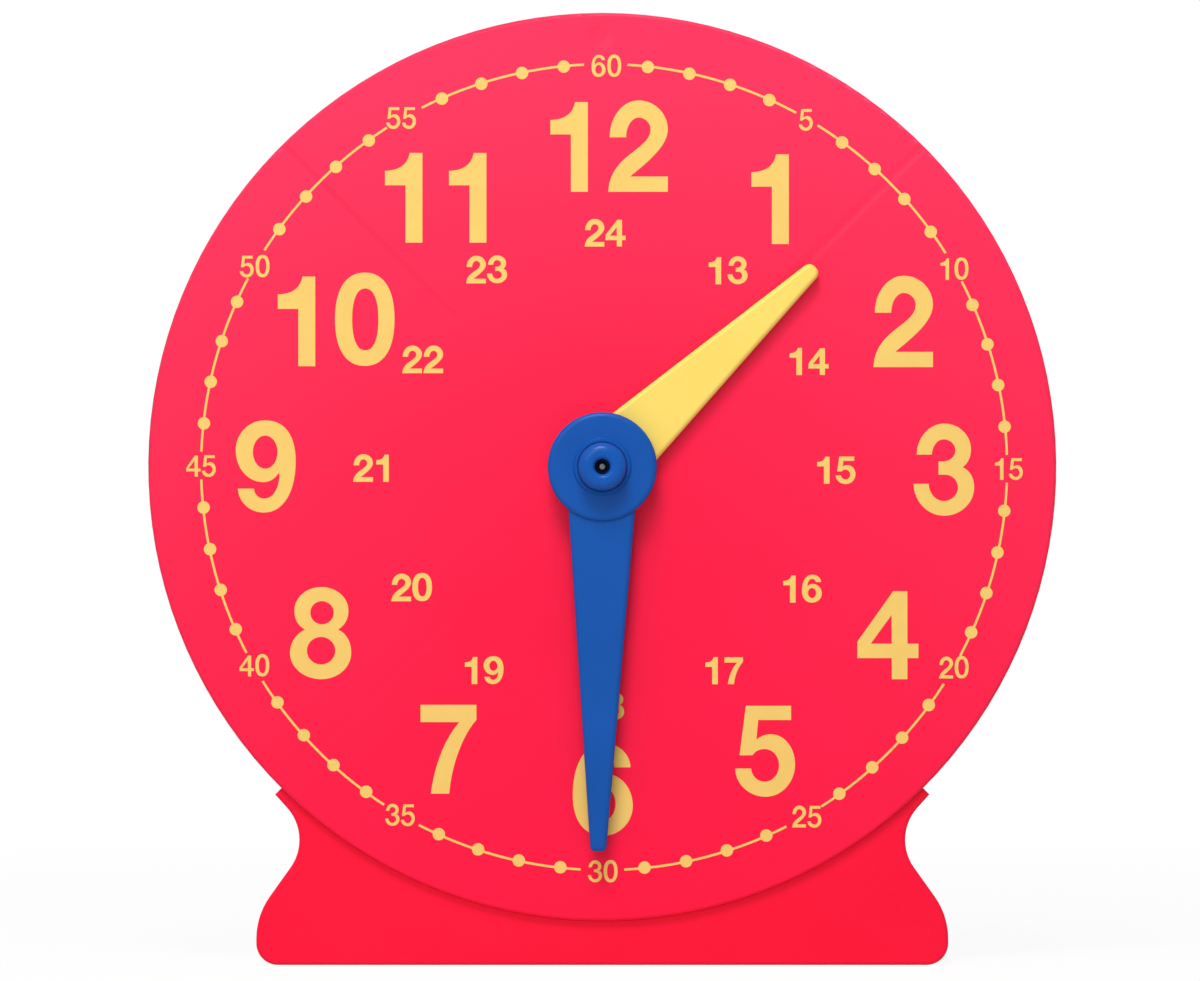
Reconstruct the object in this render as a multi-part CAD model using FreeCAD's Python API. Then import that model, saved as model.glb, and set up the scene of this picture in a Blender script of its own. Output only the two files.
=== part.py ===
"""A geared teaching clock: a red dial on a moulded stand, with an hour hand and a minute hand that a child turns.

Behind the dial a train of four gears turns the hour hand once for every twelve turns of the minute hand.
The minute hand sits on a hollow arbor whose pinion drives a large idler wheel. The small pinion moulded on that
wheel drives the hour wheel, and the hour wheel's tube comes forward through the dial to carry the hour hand.
Both turn about a steel axle that is held in the gear cover, and its tip shows in the hole of the knob.

X runs to the right, Y away from the viewer and Z up. The origin is on the table, under the middle of the clock.
Lengths are in millimetres. A depth is a distance behind the dial's front face, negative in front of it, and an
angle is in degrees clockwise from twelve o'clock, as the viewer sees it.
"""
import FreeCAD
import Part
import math
import os

Vector = FreeCAD.Vector

# Clearances
running_gap = 0.06
end_play = 0.2
seat_gap = 0.3
pocket_gap = 0.1
cut_over = 1.0

# The dial, a shallow pan that opens to the rear
dial_radius = 150.0
dial_thickness = 2.5
dial_clear_height = 14.7
rim_depth = 12.0
rim_thickness = 2.5
rim_rounding = 1.2
rib_thickness = 2.4
rib_angles = (45, 135, 225, 315)
rib_low_reach = 34.0

# The boss near the dial's top edge, with a blind hole that hangs the clock on a wall pin
hanging_boss_radius = 6.5
hanging_hole_radius = 2.25
hanging_from_edge = 8.0
hanging_floor = 1.2

# The gears
gear_module = 1.25
pressure_angle = 20.0
profile_shift = 0.35
backlash = 0.30
minute_pinion_teeth = 12
idler_wheel_teeth = 48
idler_pinion_teeth = 15
hour_wheel_teeth = 45
gear_width = 4.0
wheel_gap = 1.0
pinion_overhang = 0.5
gear_hub_wall = 2.0
gear_rim_modules = 4.0
idler_direction = 180.0

# The shafts and the bush that carry the hands
axle_radius = 1.5
arbor_radius = 4.0
arbor_flat = 3.3
hour_tube_radius = 6.5
hour_tube_flat = 5.6
bush_radius = 10.0
bush_length = 7.5
thrust_washer_thickness = 0.5
hand_washer_thickness = 0.5
hand_washer_radius = 9.0
idler_post_radius = 5.5

# The conical spring washer whose push keeps the hands where they are put
spring_radius = 5.2
spring_bore_radius = 2.4
spring_height = 1.0
spring_thickness = 0.35

# The gear cover
cover_thickness = 2.2
cover_boss_radius = 7.0
cover_boss_length = 1.2
cover_boss_rise = 1.4
cover_lip_height = 1.6
cover_edge_rounding = 0.8
housing_gap = 2.6
housing_wall = 2.5
axle_head_radius = 3.6
axle_head_height = 1.3

# The screws, all of one size
screw_radius = 1.45
screw_length = 8.0
screw_head_radius = 2.8
screw_head_height = 1.9
screw_recess_width = 0.9
screw_recess_length = 3.2
screw_recess_depth = 1.1
screw_hole_radius = 1.75
screw_boss_radius = 3.8
cover_screw_inset = 3.0
cover_screw_angles = (45, 135, 225, 315)

# The hands, at half past one as photographed
hour_hand_angle = 46.9
minute_hand_angle = 180.6
hand_thickness = 3.2
hand_edge_rounding = 1.5
hour_hand_gap = 1.5
hour_hand_length = 96.3
hour_hand_root_width = 24.0
hour_hand_tip_width = 5.2
hour_hand_tip_rounding = 2.5
hour_hub_radius = 16.0
minute_hand_length = 126.6
minute_hand_root_width = 24.2
minute_hand_tip_width = 5.2
minute_hand_tip_rounding = 1.6
minute_hub_radius = 18.0
minute_hub_rise = 1.3
hub_rounding = 1.6
collar_radius = 9.7
collar_top_radius = 9.1
collar_rise = 0.8

# The knob that presses onto the arbor and locks the minute hand
knob_radius = 8.0
knob_height = 7.5
knob_rounding = 3.0
knob_hole_radius = 2.5
knob_hole_rounding = 1.5
knob_face_thickness = 3.0
axle_tip_sink = 3.6

# The stand, a hollow moulding open underneath, whose front is a little behind the dial's face.
# Seen from the front, each side runs up from the table over a foot's shoulder and in to a neck, then out to a horn.
stand_front = 2.2
stand_wall = 3.0
stand_depth = 82.0
stand_rounding = 1.2
horn_height = 56.4
foot_flare = 6.2
foot_edge_rounding = 7.2
shoulder_height = 16.4
shoulder_rounding = 24.0
neck_drop = 13.8
neck_inset = 12.5
neck_rounding = 15.8
plate_thickness = 3.2
foot_front_height = 22.0
foot_front_rounding = 20.0
foot_rear_height = 14.0
foot_rear_rounding = 7.0
foot_corner_rounding = 24.0
floor_flange = 5.0
stand_rib_thickness = 2.2
stand_rib_places = (-38.0, 38.0)
stand_screw_height = 47.0
stand_screw_places = (-68.0, -22.0, 22.0, 68.0)

# How far each screw's cross recess is turned from the one before it
cover_screw_twist = 20.0
stand_screw_twist = 35.0

dial_centre_height = dial_radius + dial_clear_height


def polar(radius, angle, x=0.0, z=dial_centre_height):
    """X and Z of a point at a radius and a clock angle about a centre."""
    turn = math.radians(angle)
    return x + radius * math.sin(turn), z + radius * math.cos(turn)


# The gear train, worked out from the sizes above. The second pair takes the module that fits its centres.
centre_distance = gear_module * (minute_pinion_teeth + idler_wheel_teeth) / 2
hour_module = 2 * centre_distance / (idler_pinion_teeth + hour_wheel_teeth)

# Depths of the train, each from the one before it
bush_back = bush_length
hour_wheel_front = bush_back + thrust_washer_thickness + end_play
hour_wheel_back = hour_wheel_front + gear_width
pinion_front = hour_wheel_back + end_play
idler_wheel_front = hour_wheel_back + wheel_gap
idler_wheel_back = idler_wheel_front + gear_width
pinion_back = idler_wheel_back + pinion_overhang
cover_boss_front = pinion_back + spring_height
cover_front = cover_boss_front + cover_boss_length
cover_back = cover_front + cover_thickness

# Depths of the hands, which stand in front of the dial
hour_hand_back = -hour_hand_gap
hour_hand_front = hour_hand_back - hand_thickness
minute_hand_back = hour_hand_front - hand_washer_thickness - end_play
minute_hand_front = minute_hand_back - hand_thickness
hub_front = minute_hand_front - minute_hub_rise
knob_front = hub_front - knob_height
arbor_tip = knob_front + knob_face_thickness
axle_tip = knob_front + axle_tip_sink

# Radii and places that other pieces share
wheel_tip_radius = gear_module * (idler_wheel_teeth / 2 + 1 - profile_shift)
housing_radius = centre_distance + wheel_tip_radius + housing_gap
cover_screw_radius = housing_radius - cover_screw_inset
hanging_radius = dial_radius - hanging_from_edge
pocket_radius = dial_radius + pocket_gap
horn_radius = pocket_radius + stand_wall
horn_angle = math.degrees(math.acos((horn_height - dial_centre_height) / horn_radius))
horn_tip = polar(horn_radius, horn_angle)
foot_side = horn_tip[0] + foot_flare
plate_back = rim_depth + plate_thickness
plate_top = polar(pocket_radius, horn_angle)[1]
dial_face_y = -(knob_front + stand_depth) / 2


def depth_y(depth):
    """The Y of a depth behind the dial's front face."""
    return dial_face_y + depth


idler_x, idler_z = polar(centre_distance, idler_direction)


def cylinder(radius, front, back, x=0.0, z=dial_centre_height):
    """A round bar along Y from one depth to another."""
    return Part.makeCylinder(radius, back - front, Vector(x, depth_y(front), z), Vector(0, 1, 0))


def tube(radius, bore, front, back, x=0.0, z=dial_centre_height):
    """A round bar with a hole right through it."""
    outside = cylinder(radius, front, back, x, z)
    return outside.cut(cylinder(bore, front - cut_over, back + cut_over, x, z))


def flatted_bar(radius, flat, front, back):
    """A bar on the clock's axis with two flats, which turns what is pressed onto it."""
    bar = cylinder(radius, front, back)
    slab = Part.makeBox(2 * flat, back - front, 2 * radius + 2 * cut_over,
                        Vector(-flat, depth_y(front), dial_centre_height - radius - cut_over))
    return bar.common(slab)


def turned(shape, angle, x=0.0, z=dial_centre_height):
    """A copy turned clockwise about an axis along Y."""
    copy = shape.copy()
    copy.rotate(Vector(x, 0, z), Vector(0, 1, 0), angle)
    return copy


def rounded_wire(corners, place):
    """A closed wire of straight runs through the corners (u, v, radius), each with its tangent arc.

    place turns a flat point (u, v) into a point in space.
    """
    count = len(corners)
    stops = []
    for i, (u, v, radius) in enumerate(corners):
        here = Vector(u, v, 0)
        before = (Vector(*corners[i - 1][:2], 0) - here).normalize()
        after = (Vector(*corners[(i + 1) % count][:2], 0) - here).normalize()
        if radius == 0:
            stops.append((here, None, here))
            continue
        half = before.getAngle(after) / 2
        reach = radius / math.tan(half)
        middle = (before + after).normalize()
        crown = here + middle * (radius / math.sin(half) - radius)
        stops.append((here + before * reach, crown, here + after * reach))
    edges = []
    for i, (start, crown, end) in enumerate(stops):
        if crown is not None:
            arc = Part.Arc(place(start.x, start.y), place(crown.x, crown.y), place(end.x, end.y))
            edges.append(arc.toShape())
        following = stops[(i + 1) % count][0]
        if end.distanceToPoint(following) > 1e-6:
            line = Part.LineSegment(place(end.x, end.y), place(following.x, following.y))
            edges.append(line.toShape())
    return Part.Wire(edges)


def edges_in_plane(shape, depth):
    """The edges that lie wholly at one depth."""
    y = depth_y(depth)
    return [e for e in shape.Edges if abs(e.BoundBox.YMin - y) < 1e-4 and abs(e.BoundBox.YMax - y) < 1e-4]


def fused(first, *others):
    """One solid from pieces that overlap, without the seams between them."""
    return first.multiFuse(list(others)).removeSplitter()


def gear_body(teeth, module, shift, phase, front, back, x, z):
    """A spur gear with involute flanks, a tooth of which points along the phase angle."""
    pitch_radius = module * teeth / 2
    base_radius = pitch_radius * math.cos(math.radians(pressure_angle))
    root_radius = pitch_radius - module * (1.25 - shift)
    tip_radius = pitch_radius + module * (1 + shift)
    pressure = math.radians(pressure_angle)
    tooth_width = module * (math.pi / 2 + 2 * shift * math.tan(pressure)) - backlash / 2
    half_at_base = tooth_width / (2 * pitch_radius) + math.tan(pressure) - pressure

    def half_angle(radius):
        """Half of the tooth's angle at a radius, in degrees."""
        local = math.acos(min(1.0, base_radius / radius))
        return math.degrees(half_at_base - math.tan(local) + local)

    def at(radius, angle):
        px, pz = polar(radius, angle, x, z)
        return Vector(px, depth_y(front), pz)

    flank_start = max(base_radius, root_radius)
    flank_middle = (flank_start + tip_radius) / 2
    pitch = 360 / teeth
    edges = []
    for k in range(teeth):
        centre = phase + k * pitch
        for side in (-1, 1):
            low = at(flank_start, centre + side * half_angle(flank_start))
            middle = at(flank_middle, centre + side * half_angle(flank_middle))
            high = at(tip_radius, centre + side * half_angle(tip_radius))
            edges.append(Part.Arc(low, middle, high).toShape())
            if root_radius < base_radius:
                root = at(root_radius, centre + side * half_angle(flank_start))
                edges.append(Part.LineSegment(root, low).toShape())
        tip_half = half_angle(tip_radius)
        edges.append(Part.Arc(at(tip_radius, centre - tip_half), at(tip_radius, centre),
                              at(tip_radius, centre + tip_half)).toShape())
        root_half = half_angle(flank_start)
        edges.append(Part.Arc(at(root_radius, centre + root_half), at(root_radius, centre + pitch / 2),
                              at(root_radius, centre + pitch - root_half)).toShape())
    outline = Part.Wire(Part.__sortEdges__(edges))
    return Part.Face(outline).extrude(Vector(0, back - front, 0))


def screw(x, z, seat, twist):
    """A pan-head screw whose head rests on a seat and whose shank runs forward from it."""
    head = cylinder(screw_head_radius, seat, seat + screw_head_height, x, z)
    head = head.makeFillet(screw_head_height * 0.6, edges_in_plane(head, seat + screw_head_height))
    shank = cylinder(screw_radius, seat - screw_length, seat, x, z)
    shank = shank.makeChamfer(screw_radius * 0.4, edges_in_plane(shank, seat - screw_length))
    recess_floor = seat + screw_head_height - screw_recess_depth
    slots = []
    for turn in (0, 90):
        slot = Part.makeBox(screw_recess_length, screw_recess_depth + cut_over, screw_recess_width,
                            Vector(x - screw_recess_length / 2, depth_y(recess_floor), z - screw_recess_width / 2))
        slots.append(turned(slot, turn + twist, x, z))
    return fused(head, shank).cut(slots[0].fuse(slots[1]))


def cover_screw_places():
    """X and Z of the four screws that hold the gear cover."""
    return [polar(cover_screw_radius, angle) for angle in cover_screw_angles]


def stand_screw_points():
    """X and Z of the screws that hold the dial to the stand."""
    return [(x, stand_screw_height) for x in stand_screw_places]


def dial_plate():
    """The dial: a face with a rim, the bush, the gear housing's wall, four ribs and the bosses."""
    pan = cylinder(dial_radius, 0, rim_depth)
    pan = pan.makeFillet(rim_rounding, edges_in_plane(pan, 0))
    pan = pan.cut(cylinder(dial_radius - rim_thickness, dial_thickness, rim_depth + cut_over))
    inside = dial_thickness / 2
    parts = [cylinder(bush_radius, -(hour_hand_gap - end_play), bush_back),
             tube(housing_radius + housing_wall, housing_radius, inside, cover_front),
             cylinder(idler_post_radius, inside, hour_wheel_front - end_play, idler_x, idler_z)]
    rib_start = housing_radius + housing_wall / 2
    rib_end = dial_radius - rim_thickness / 2
    rib_low = rim_depth - dial_thickness
    for angle in rib_angles:
        corners = [(rib_start, inside, 0), (rib_end, inside, 0), (rib_end, rib_low, 0),
                   (housing_radius + housing_wall + rib_low_reach, rib_low, 0),
                   (rib_start, cover_front - dial_thickness, 0)]

        def place(radius, depth, angle=angle):
            px, pz = polar(radius, angle)
            return Vector(px, depth_y(depth), pz)

        across = Vector(math.cos(math.radians(angle)), 0, -math.sin(math.radians(angle)))
        rib = Part.Face(rounded_wire(corners, place)).extrude(across * rib_thickness)
        rib.translate(across * (-rib_thickness / 2))
        parts.append(rib)
    for x, z in cover_screw_places():
        parts.append(cylinder(screw_boss_radius, inside, cover_front, x, z))
    for x, z in stand_screw_points():
        parts.append(cylinder(screw_boss_radius, inside, rim_depth, x, z))
    hang_x, hang_z = polar(hanging_radius, 0)
    hang_boss = cylinder(hanging_boss_radius, inside, rim_depth, hang_x, hang_z)
    parts.append(hang_boss.common(cylinder(dial_radius - rim_thickness / 2, 0, rim_depth)))
    solid = fused(pan, *parts)
    holes = [cylinder(hour_tube_radius + running_gap, -2 * hour_hand_gap, bush_back + cut_over),
             cylinder(axle_radius, dial_thickness + hanging_floor, hour_wheel_front, idler_x, idler_z),
             cylinder(hanging_hole_radius, dial_thickness + hanging_floor, rim_depth + cut_over, hang_x, hang_z)]
    pilot_end = screw_length + cut_over
    for x, z in cover_screw_places():
        holes.append(cylinder(screw_radius, cover_back - pilot_end, cover_front + cut_over, x, z))
    for x, z in stand_screw_points():
        holes.append(cylinder(screw_radius, plate_back - pilot_end, rim_depth + cut_over, x, z))
    return solid.cut(Part.makeCompound(holes))


def gear_cover():
    """The round cover that closes the gear housing and holds the rear end of both axles."""
    disc = cylinder(housing_radius + housing_wall, cover_front, cover_back)
    disc = disc.makeFillet(cover_edge_rounding, edges_in_plane(disc, cover_back))
    lip_radius = housing_radius - seat_gap
    inside = cover_front + cover_thickness / 2
    lip = tube(lip_radius, lip_radius - housing_wall / 2, cover_front - cover_lip_height, inside)
    centre_boss = cylinder(cover_boss_radius, cover_boss_front, cover_back + cover_boss_rise)
    centre_boss = centre_boss.makeFillet(cover_edge_rounding,
                                         edges_in_plane(centre_boss, cover_back + cover_boss_rise))
    idler_boss = cylinder(idler_post_radius, idler_wheel_back + end_play, inside, idler_x, idler_z)
    solid = fused(disc, lip, centre_boss, idler_boss)
    holes = [cylinder(axle_radius, cover_boss_front - cut_over, cover_back + cover_boss_rise + cut_over),
             cylinder(axle_radius, idler_wheel_back, cover_front + cover_thickness / 2, idler_x, idler_z)]
    for x, z in cover_screw_places():
        holes.append(cylinder(screw_hole_radius, cover_front - cover_lip_height, cover_back + cut_over, x, z))
        clear = cylinder(screw_boss_radius + seat_gap, cover_front - cover_lip_height - cut_over, cover_front, x, z)
        holes.append(clear)
    return solid.cut(Part.makeCompound(holes))


def cover_screws():
    """The four screws of the gear cover."""
    return Part.makeCompound([screw(x, z, cover_back, cover_screw_twist * k)
                              for k, (x, z) in enumerate(cover_screw_places())])


def stand_screws():
    """The four screws that clamp the dial's rim into the stand's pocket."""
    return Part.makeCompound([screw(x, z, plate_back, stand_screw_twist * k)
                              for k, (x, z) in enumerate(stand_screw_points())])


def centre_axle():
    """The steel axle, riveted into the cover, on which the arbor turns."""
    head_seat = cover_back + cover_boss_rise
    shaft = cylinder(axle_radius, axle_tip, head_seat)
    shaft = shaft.makeFillet(axle_radius * 0.6, edges_in_plane(shaft, axle_tip))
    head = cylinder(axle_head_radius, head_seat, head_seat + axle_head_height)
    head = head.makeFillet(axle_head_height * 0.7, edges_in_plane(head, head_seat + axle_head_height))
    return fused(shaft, head)


def idler_axle():
    """The steel pin of the idler gear, held at one end in the dial and at the other in the cover."""
    return cylinder(axle_radius, dial_thickness + hanging_floor, cover_front + cover_thickness / 2, idler_x, idler_z)


def spring_washer():
    """A shallow cone of spring steel between the pinion and the cover."""
    front = pinion_back + running_gap
    back = cover_boss_front
    corners = [(spring_bore_radius, front), (spring_radius, back - spring_thickness),
               (spring_radius, back), (spring_bore_radius, front + spring_thickness)]
    points = [Vector(r, depth_y(d), dial_centre_height) for r, d in corners]
    section = Part.Face(Part.makePolygon(points + points[:1]))
    return section.revolve(Vector(0, 0, dial_centre_height), Vector(0, 1, 0), 360)


def minute_arbor():
    """The hollow arbor with the minute pinion at its rear end."""
    pinion = gear_body(minute_pinion_teeth, gear_module, profile_shift, idler_direction,
                       idler_wheel_front, pinion_back, 0.0, dial_centre_height)
    collar_radius = gear_module * (minute_pinion_teeth / 2 - 1.25 + profile_shift)
    collar = cylinder(collar_radius, pinion_front, idler_wheel_front + cut_over)
    stem = cylinder(arbor_radius, minute_hand_back, pinion_front + cut_over)
    seat = flatted_bar(arbor_radius, arbor_flat, arbor_tip, minute_hand_back + cut_over)
    bore = cylinder(axle_radius + running_gap, arbor_tip - cut_over, pinion_back + cut_over)
    return fused(pinion, collar, stem, turned(seat, minute_hand_angle)).cut(bore)


def hour_wheel():
    """The hour wheel with the tube that carries the hour hand."""
    wheel = gear_body(hour_wheel_teeth, hour_module, -profile_shift, idler_direction,
                      hour_wheel_front, hour_wheel_back, 0.0, dial_centre_height)
    stem = cylinder(hour_tube_radius, hour_hand_back, hour_wheel_front + cut_over)
    seat = flatted_bar(hour_tube_radius, hour_tube_flat, hour_hand_front, hour_hand_back + cut_over)
    bore = cylinder(arbor_radius + running_gap, hour_hand_front - cut_over, hour_wheel_back + cut_over)
    solid = fused(wheel, stem, turned(seat, hour_hand_angle)).cut(bore)
    inner = hour_tube_radius + gear_hub_wall
    outer = hour_module * (hour_wheel_teeth / 2 - gear_rim_modules)
    return lightened(solid, inner, outer, hour_wheel_front, hour_wheel_back)


def lightened(gear, inner, outer, front, back, x=0.0, z=dial_centre_height):
    """A gear with a shallow ring sunk in each face between its hub and its rim."""
    sink = (back - front) / 4
    front_ring = tube(outer, inner, front - cut_over, front + sink, x, z)
    back_ring = tube(outer, inner, back - sink, back + cut_over, x, z)
    return gear.cut(front_ring).cut(back_ring)


def idler_gear():
    """The idler: the wheel that the minute pinion drives and the pinion that drives the hour wheel."""
    toward_centre = idler_direction + 180
    wheel = gear_body(idler_wheel_teeth, gear_module, -profile_shift, toward_centre + 180 / idler_wheel_teeth,
                      idler_wheel_front, idler_wheel_back, idler_x, idler_z)
    pinion = gear_body(idler_pinion_teeth, hour_module, profile_shift, toward_centre + 180 / idler_pinion_teeth,
                       hour_wheel_front, idler_wheel_front + cut_over, idler_x, idler_z)
    bore = cylinder(axle_radius + running_gap, hour_wheel_front - cut_over, idler_wheel_back + cut_over,
                    idler_x, idler_z)
    inner = hour_module * (idler_pinion_teeth / 2 + 1 + profile_shift) + gear_hub_wall
    outer = gear_module * (idler_wheel_teeth / 2 - gear_rim_modules)
    return lightened(fused(wheel, pinion).cut(bore), inner, outer, idler_wheel_front, idler_wheel_back,
                     idler_x, idler_z)


def thrust_washer():
    """The thin ring between the dial's bush and the hour wheel."""
    return tube(bush_radius, hour_tube_radius + seat_gap, bush_back, bush_back + thrust_washer_thickness)


def hand_washer():
    """The thin ring that keeps the two hands from rubbing."""
    return tube(hand_washer_radius, arbor_radius + seat_gap,
                hour_hand_front - hand_washer_thickness, hour_hand_front)


def hand_blade(length, root_width, tip_width, tip_rounding, front, back):
    """A tapering blade that points to twelve, with a rounding along its front edges."""
    def place(across, along):
        return Vector(across, depth_y(front), dial_centre_height + along)

    corners = [(-root_width / 2, 0, 0), (-tip_width / 2, length, tip_rounding),
               (tip_width / 2, length, tip_rounding), (root_width / 2, 0, 0)]
    blade = Part.Face(rounded_wire(corners, place)).extrude(Vector(0, back - front, 0))
    return blade.makeFillet(hand_edge_rounding, edges_in_plane(blade, front))


def hour_hand():
    """The yellow hour hand."""
    blade = hand_blade(hour_hand_length, hour_hand_root_width, hour_hand_tip_width, hour_hand_tip_rounding,
                       hour_hand_front, hour_hand_back)
    hub = cylinder(hour_hub_radius, hour_hand_front, hour_hand_back)
    hole = flatted_bar(hour_tube_radius, hour_tube_flat, hour_hand_front - cut_over, hour_hand_back + cut_over)
    return turned(fused(blade, hub).cut(hole), hour_hand_angle)


def minute_hand():
    """The blue minute hand, with a thicker hub and a low collar round the knob's seat."""
    blade = hand_blade(minute_hand_length, minute_hand_root_width, minute_hand_tip_width,
                       minute_hand_tip_rounding, minute_hand_front, minute_hand_back)
    hub = cylinder(minute_hub_radius, hub_front, minute_hand_back)
    hub = hub.makeFillet(hub_rounding, edges_in_plane(hub, hub_front))
    collar = Part.makeCone(collar_top_radius, collar_radius, collar_rise,
                           Vector(0, depth_y(hub_front - collar_rise), dial_centre_height), Vector(0, 1, 0))
    clear = cylinder(knob_radius + seat_gap, hub_front - collar_rise - cut_over, hub_front)
    hole = flatted_bar(arbor_radius, arbor_flat, hub_front - collar_rise - cut_over, minute_hand_back + cut_over)
    return turned(fused(blade, hub, collar).cut(clear).cut(hole), minute_hand_angle)


def hand_knob():
    """The knob, which presses onto the arbor's end and leaves its hole open in front."""
    body = cylinder(knob_radius, knob_front, hub_front)
    body = body.makeFillet(knob_rounding, edges_in_plane(body, knob_front))
    socket = cylinder(arbor_radius, arbor_tip, hub_front + cut_over)
    body = body.cut(socket).cut(cylinder(knob_hole_radius, knob_front - cut_over, arbor_tip + cut_over))
    mouth = [e for e in edges_in_plane(body, knob_front) if e.BoundBox.XLength < knob_hole_radius + knob_radius - knob_rounding]
    return body.makeFillet(knob_hole_rounding, mouth)


def offset_face(wire, inset):
    """The face inside a flat wire, drawn in by an inset."""
    face = Part.Face(wire)
    if inset == 0:
        return face
    return face.makeOffset2D(-inset)


def stand_front_view(inset):
    """The stand as the viewer sees it, run from its front to its rear."""
    right = [(foot_side, 0, foot_edge_rounding), (foot_side, shoulder_height, shoulder_rounding),
             (horn_tip[0] - neck_inset, horn_height - neck_drop, neck_rounding), (*horn_tip, 0),
             (*polar(pocket_radius, horn_angle), 0)]
    left = [(-x, z, radius) for x, z, radius in reversed(right)]

    def place(x, z):
        return Vector(x, depth_y(stand_front), z)

    face = offset_face(rounded_wire(right + left, place), inset)
    return face.extrude(Vector(0, stand_depth - stand_front, 0))


def stand_side_view(inset):
    """The stand seen from its side, run across it: a plate that sweeps down to a low foot."""
    width = 2 * dial_radius
    corners = [(stand_front, 0, 0), (stand_front, plate_top, 0), (plate_back, plate_top, 0),
               (plate_back, foot_front_height, foot_front_rounding),
               (stand_depth, foot_rear_height, foot_rear_rounding), (stand_depth, 0, 0)]

    def place(depth, z):
        return Vector(-width / 2, depth_y(depth), z)

    return offset_face(rounded_wire(corners, place), inset).extrude(Vector(width, 0, 0))


def stand_top_view(inset):
    """The stand seen from above, run up it, with its two rear corners rounded."""
    corners = [(-foot_side, stand_front, 0), (-foot_side, stand_depth, foot_corner_rounding),
               (foot_side, stand_depth, foot_corner_rounding), (foot_side, stand_front, 0)]

    def place(x, depth):
        return Vector(x, depth_y(depth), 0)

    return offset_face(rounded_wire(corners, place), inset).extrude(Vector(0, 0, dial_centre_height))


def stand_block(inset):
    """The solid that the three views of the stand enclose."""
    return stand_front_view(inset).common(stand_side_view(inset)).common(stand_top_view(inset))


def stand():
    """The stand: a hollow foot whose front plate and two horns hold the dial's rim."""
    block = stand_block(0)
    top_edges = [e for e in edges_in_plane(block, plate_back) if e.BoundBox.ZMin > plate_top - 0.1]
    block = block.makeFillet(stand_rounding, edges_in_plane(block, stand_front) + top_edges)
    block = block.cut(cylinder(pocket_radius, stand_front - cut_over, rim_depth))
    hollow = stand_block(stand_wall)
    hollow = hollow.cut(cylinder(pocket_radius + stand_wall, stand_front, plate_back))
    opening_side = foot_side - foot_edge_rounding - floor_flange
    opening_front = stand_front + floor_flange
    opening = Part.makeBox(2 * opening_side, stand_depth - floor_flange - opening_front, 2 * stand_wall,
                           Vector(-opening_side, depth_y(opening_front), -stand_wall / 2))
    hollow = hollow.fuse(opening.common(stand_top_view(floor_flange)))
    for x in stand_rib_places:
        rib = Part.makeBox(stand_rib_thickness, stand_depth, dial_centre_height,
                           Vector(x - stand_rib_thickness / 2, depth_y(0), stand_wall))
        hollow = hollow.cut(rib)
    holes = [cylinder(screw_hole_radius, rim_depth - cut_over, plate_back + cut_over, x, z)
             for x, z in stand_screw_points()]
    return block.cut(hollow).cut(Part.makeCompound(holes))


nodes = {
    "dial_plate": dial_plate,
    "gear_cover": gear_cover,
    "cover_screws": cover_screws,
    "centre_axle": centre_axle,
    "idler_axle": idler_axle,
    "thrust_washer": thrust_washer,
    "spring_washer": spring_washer,
    "stand": stand,
    "stand_screws": stand_screws,
    "minute_arbor": minute_arbor,
    "minute_hand": minute_hand,
    "hand_knob": hand_knob,
    "hour_wheel": hour_wheel,
    "hour_hand": hour_hand,
    "hand_washer": hand_washer,
    "idler_gear": idler_gear,
}

os.makedirs("parts", exist_ok=True)
for name, make in nodes.items():
    shape = make()
    box = shape.BoundBox
    print(f"{name}: {shape.ShapeType}, {len(shape.Solids)} solid, {shape.Volume / 1000:.2f} cm3, valid {shape.isValid()}, "
          f"X {box.XMin:.1f}..{box.XMax:.1f}, Y {box.YMin:.1f}..{box.YMax:.1f}, Z {box.ZMin:.1f}..{box.ZMax:.1f}")
    shape.exportStep(f"parts/{name}.step")
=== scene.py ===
# %% [markdown]
# # A geared teaching clock, dressed in Blender
# The clock is a round red moulding that stands in a red foot. Two hands are joined by gears
# behind the dial, so a turn of the minute hand carries the hour hand on. The solid parts come
# from the CAD model. This lesson adds the printing on the dial, the surface of every part, and
# the studio around it.

# %% Load the fixed frame
import math
import re

import bmesh
import bpy
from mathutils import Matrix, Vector
from mathutils.geometry import tessellate_polygon


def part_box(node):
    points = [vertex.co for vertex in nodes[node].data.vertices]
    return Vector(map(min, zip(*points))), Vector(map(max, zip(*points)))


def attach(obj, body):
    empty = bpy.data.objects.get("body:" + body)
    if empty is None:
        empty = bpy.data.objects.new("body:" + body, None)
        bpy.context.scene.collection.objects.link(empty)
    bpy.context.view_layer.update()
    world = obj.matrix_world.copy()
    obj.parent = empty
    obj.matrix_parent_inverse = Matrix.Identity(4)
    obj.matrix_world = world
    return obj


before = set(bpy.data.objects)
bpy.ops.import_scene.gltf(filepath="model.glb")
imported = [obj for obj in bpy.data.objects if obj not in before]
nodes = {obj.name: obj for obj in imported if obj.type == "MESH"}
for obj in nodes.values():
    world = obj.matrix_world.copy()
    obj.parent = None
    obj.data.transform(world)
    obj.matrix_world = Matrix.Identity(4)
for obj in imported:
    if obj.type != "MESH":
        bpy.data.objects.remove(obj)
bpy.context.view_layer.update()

MM = 0.001

# %% [markdown]
# ## Where the dial is
# All the printing is laid out from the middle of the dial and lies on its face, so both are
# measured from the CAD part and not typed in again. The clock looks towards -Y, but the face
# isn't the part's lowest Y, because the bush round the axle stands proud of it. It is the
# depth at which most of the area that looks forward lies.

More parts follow.
